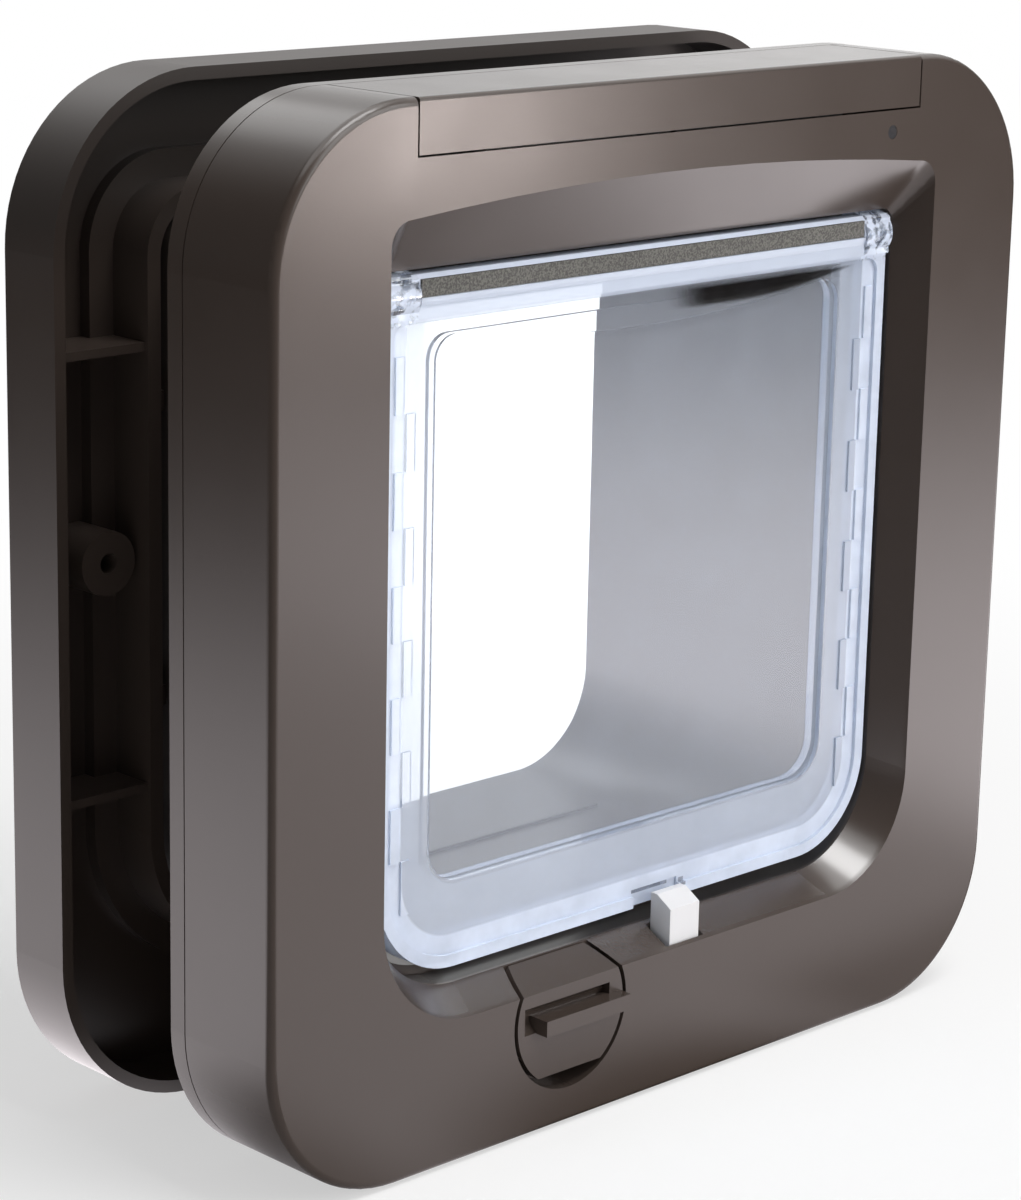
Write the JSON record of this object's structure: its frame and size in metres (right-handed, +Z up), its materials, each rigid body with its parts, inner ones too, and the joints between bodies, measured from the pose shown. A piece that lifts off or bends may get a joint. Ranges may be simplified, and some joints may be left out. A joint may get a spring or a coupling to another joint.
{
  "type": "cat flap",
  "caption": "Square brown door cat flap: indoor unit with a clear swinging pane, a latch, a lock dial and a battery cover, joined by a tunnel to an outdoor frame.",
  "frame": {"origin": "middle of the width and of the whole depth, at the bottom edge that both frames stand on", "axes": "+X across the width, +Y from the indoor side to the outdoor side, +Z up"},
  "size_m": [0.21, 0.0996, 0.21],
  "materials": {
    "brown_plastic": "satin",
    "black_plastic": "satin",
    "clear_plastic": "clear",
    "white_plastic": "satin",
    "seal": "bristle",
    "steel": "plain",
    "cell": "satin",
    "board": "satin",
    "copper": "enamelled"
  },
  "bodies": {
    "housing": {"front_cover": "brown_plastic", "rear_housing": "brown_plastic", "tunnel": "brown_plastic", "exterior_frame": "brown_plastic", "battery_tray": "black_plastic", "battery_1": "cell", "battery_2": "cell", "battery_3": "cell", "battery_4": "cell", "contact_right": "steel", "contact_left_front": "steel", "contact_left_back": "steel", "status_light": "clear_plastic", "hinge_rod": "steel", "hinge_block_left": "brown_plastic", "hinge_block_right": "brown_plastic", "latch_carrier": "black_plastic", "latch_motor": "steel", "circuit_board": "board", "antenna_coil": "copper", "housing_screw_1": "steel", "housing_screw_2": "steel", "housing_screw_3": "steel", "housing_screw_4": "steel"},
    "swing_flap": {"flap": "clear_plastic", "flap_seal": "seal"},
    "entry_catch": {"entry_latch": "white_plastic"},
    "exit_catch": {"exit_latch": "white_plastic"},
    "dial": {"lock_dial": "brown_plastic", "dial_cam": "black_plastic"},
    "cover": {"battery_cover": "brown_plastic"},
    "button": {"learn_button": "black_plastic"}
  },
  "joints": [
    {"name": "flap_swing", "type": "hinge", "parent": "housing", "child": "swing_flap", "pos_m": [0, -0.03575, 0.172], "axis": [1, 0, 0], "range_deg": [0, 85]},
    {"name": "entry_latch_drop", "type": "slide", "parent": "housing", "child": "entry_catch", "axis": [0, 0, -1], "range_m": [0, 0.009]},
    {"name": "exit_latch_raise", "type": "slide", "parent": "housing", "child": "exit_catch", "axis": [0, 0, 1], "range_m": [0, 0.01]},
    {"name": "lock_dial_turn", "type": "hinge", "parent": "housing", "child": "dial", "pos_m": [-0.0258, -0.04375, 0.0235], "axis": [0, 1, 0], "range_deg": [0, 270]},
    {"name": "battery_cover_lift", "type": "slide", "parent": "housing", "child": "cover", "axis": [0, 0, 1], "range_m": [0, 0.02]},
    {"name": "learn_button_push", "type": "slide", "parent": "housing", "child": "button", "axis": [0, 0, -1], "range_m": [0, 0.0008], "stiffness_N_per_m": 400, "springref_m": -0.0005}
  ]
}
